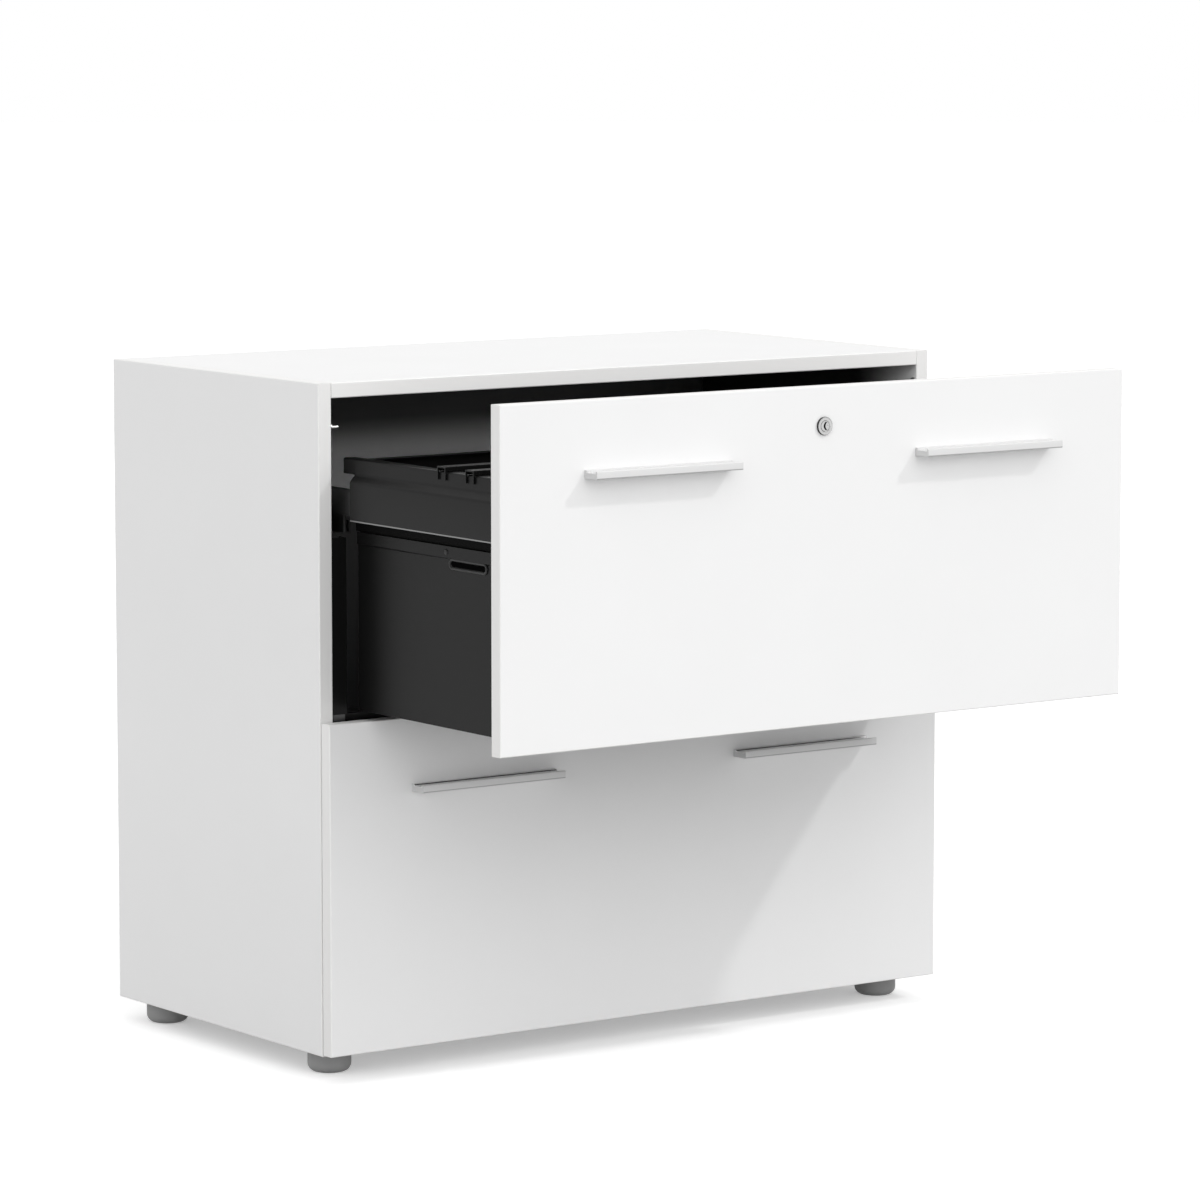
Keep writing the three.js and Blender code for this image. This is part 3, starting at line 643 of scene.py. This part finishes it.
def makePlug(face, back, centre, nickel):
    # disc from a square grid; it drops in within half a key's width of a parabola and swells at a small dot,
    # and its rim is carried straight to a flat back
    l = lock
    side = np.linspace(-1, 1, l["gridSteps"])
    u, v = np.meshgrid(side, side)
    x = l["plug"] * u * np.sqrt(1 - v ** 2 / 2)
    z = l["plug"] * v * np.sqrt(1 - u ** 2 / 2)
    bendLine = l["keyShift"] - l["keyBend"] + 2 * l["keyBend"] * (z / l["keyReach"]) ** 2
    inside = (np.abs(x - bendLine) < l["keyWidth"] / 2) & (np.abs(z) < l["keyReach"])
    dot = np.clip(1 - ((x - l["dotPlace"]) ** 2 + z ** 2) / l["dotRadius"] ** 2, 0, 1)
    y = face + np.where(inside, l["keyDepth"], -l["dotProud"] * np.sqrt(dot))
    front = np.stack([x + centre[0], y, z + centre[2]], -1)
    grid = np.arange(side.size ** 2).reshape(side.size, side.size)
    rim = np.concatenate([grid[0, :-1], grid[:-1, -1], grid[-1, :0:-1], grid[:0:-1, 0]])
    front = front.reshape(-1, 3)
    rear = front[rim]
    rear[:, 1] = back
    ring = grid.size + np.arange(rim.size)
    walls = np.stack([rim, np.roll(rim, -1), np.roll(ring, -1), ring], -1)
    faces = gridFaces(side.size, side.size, False).tolist() + walls.tolist() + [ring.tolist()]
    piece = meshPiece("lock_plug_turned", np.vstack([front, rear]), faces, nickel, "lock_plug", "bright_steel",
                      ("lock_plug",))
    weldTurned(piece)
    edgeSplit(piece)


makeLock()
print("lock made")


# Strike pins

strike = {"radius": 2.2 * mm, "collar": 4.5 * mm, "collarLength": 1.2 * mm, "nose": 0.6 * mm, "segments": 32}


def makeStrikes():
    for side, inward in sides.items():
        node = f"{side}_strike_pin"
        low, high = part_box(node)
        root, tip = (low.x, high.x) if inward > 0 else (high.x, low.x)
        centre = (0.0, (low.y + high.y) / 2, (low.z + high.z) / 2)
        step = root + inward * strike["collarLength"]
        profile = [(0, root), (strike["collar"], root), (strike["collar"], step), (strike["radius"], step),
                   (strike["radius"], tip - inward * strike["nose"]),
                   (strike["radius"] - strike["nose"], tip), (0, tip)]
        edgeSplit(revolvePiece(node + "_turned", profile, 0, centre, rodSteel, "carcass", "bright_steel", (node,),
                               segments=strike["segments"]))


makeStrikes()
print("strike pins made")


# Feet

foot = {"rounding": 9 * mm, "stud": 5 * mm, "arcSteps": 10, "ease": 0.8 * mm, "gap": 0.3 * mm}


def makeFeet():
    for row in ("front", "back"):
        for side in sides:
            node = f"{row}_{side}_foot"
            low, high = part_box(node)
            radius = (high.x - low.x) / 2
            centre = ((low.x + high.x) / 2, (low.y + high.y) / 2, 0.0)
            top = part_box("bottom_panel")[0].z - foot["gap"]
            turn = np.linspace(-np.pi / 2, 0, foot["arcSteps"] + 1)
            arc = np.stack([radius - foot["rounding"] + foot["rounding"] * np.cos(turn),
                            low.z + foot["rounding"] + foot["rounding"] * np.sin(turn)], -1)
            profile = np.vstack([[(0, low.z)], arc, [(radius, top - foot["ease"]), (radius - foot["ease"], top),
                                 (foot["stud"], top), (foot["stud"], high.z), (0, high.z)]])
            edgeSplit(revolvePiece(node + "_pad", profile, 2, centre, footPlastic, node, "grey_plastic", (node,)))


makeFeet()
print("feet made")


# Floor, light and camera

stage = {"radius": 30.0, "segments": 96, "colour": 0.9, "bounce": 0.45, "glow": 0.34}


def makeFloor():
    # a pale disc that keeps the shadow, whitened for the camera and for metal; it throws back less light than it shows
    turn = np.linspace(0, 2 * np.pi, stage["segments"], endpoint=False)
    points = np.stack([stage["radius"] * np.cos(turn), stage["radius"] * np.sin(turn), 0 * turn], -1)
    mesh = bpy.data.meshes.new("floor")
    mesh.from_pydata(points, [], [list(range(len(turn)))])
    material, shader, wire, _ = startMaterial("paleFloor", Specular_IOR_Level=0.0, Roughness=1.0,
                                              Base_Color=grey(stage["colour"]))
    plain = Wire(wire.tree, shader.outputs[0])
    glow = wire.node("ShaderNodeEmission", None, {"Strength": stage["glow"]})
    both = wire.node("ShaderNodeAddShader", None, {0: plain, 1: glow})
    dim = wire.node("ShaderNodeBsdfDiffuse", None, {"Color": grey(stage["bounce"])})
    mixed = wire.node("ShaderNodeMixShader", None, {0: seenDirectly(wire), 1: dim, 2: both})
    wire.feed(wire.tree.nodes["Material Output"].inputs["Surface"], mixed)
    mesh.materials.append(material)
    floor = bpy.data.objects.new("floor", mesh)
    bpy.context.scene.collection.objects.link(floor)


def seenDirectly(wire):
    # 1 for camera, glossy and transmission rays, else 0
    path = wire.node("ShaderNodeLightPath").socket.node
    seen = [Wire(wire.tree, path.outputs[name]) for name in
            ("Is Camera Ray", "Is Glossy Ray", "Is Transmission Ray")]
    first = wire.maths("MAXIMUM", seen[0], seen[1])
    return wire.maths("MAXIMUM", first, seen[2])


# lobes: direction, strength, sharpness
light = {"even": 0.44,
         "lobes": [((-0.6, -0.8, 0.1), 1.15, 1), ((0.2, -0.97, 0.1), 0.57, 3), ((0.0, 0.0, 1.0), 0.05, 1),
                   ((-0.8, 0.6, 0.0), 0.1, 1), ((0.6, 0.8, 0.0), 0.5, 1)],
         "keyWay": (-1.02, 1.0, -1.32), "key": 0.19 * math.pi, "keyAngle": 3.5}


def makeLight():
    # sky: an even level plus broad lobes, each a power of the cosine from its own direction;
    # it is plain white to the camera and to metal
    world = bpy.data.worlds.new("studio")
    bpy.context.scene.world = world
    world.use_nodes = True
    wire = Wire(world.node_tree)
    way = wire.node("ShaderNodeTexCoord", out="Generated")
    level = light["even"]
    for lobe, strength, sharpness in light["lobes"]:
        lobe = Vector(lobe).normalized()
        facing = wire.node("ShaderNodeVectorMath", {"operation": "DOT_PRODUCT"}, {0: way, 1: lobe}, out="Value")
        facing = facing.maths("MAXIMUM", facing, 0.0)
        level = facing.maths("POWER", facing, sharpness) * strength + level
    plain = seenDirectly(wire)
    background = wire.tree.nodes["Background"]
    background.inputs["Color"].default_value = grey(1.0)
    wire.feed(background.inputs["Strength"], plain + (1 - plain) * level)
    lamp = bpy.data.lights.new("key", "SUN")
    lamp.energy = light["key"]
    lamp.angle = math.radians(light["keyAngle"])
    key = bpy.data.objects.new("key", lamp)
    key.rotation_mode = "QUATERNION"
    key.rotation_quaternion = Vector(light["keyWay"]).to_track_quat("-Z", "Y")
    bpy.context.scene.collection.objects.link(key)


view = {"place": (-3.42799, -4.75373, 1.17462), "heading": 35.6062, "pitch": -6.84195, "focal": 5499.82,
        "imageWidth": 1200, "sensor": 36.0, "farthest": 200.0}


def makeCamera():
    data = bpy.data.cameras.new("camera")
    data.sensor_width = view["sensor"]
    data.lens = view["focal"] * view["sensor"] / view["imageWidth"]
    data.clip_end = view["farthest"]
    camera = bpy.data.objects.new("camera", data)
    camera.location = view["place"]
    camera.rotation_euler = (math.radians(90 + view["pitch"]), 0, -math.radians(view["heading"]))
    bpy.context.scene.collection.objects.link(camera)
    bpy.context.scene.camera = camera


makeFloor()
makeLight()
makeCamera()
bpy.context.scene.view_settings.view_transform = "Standard"
print("stage ready")
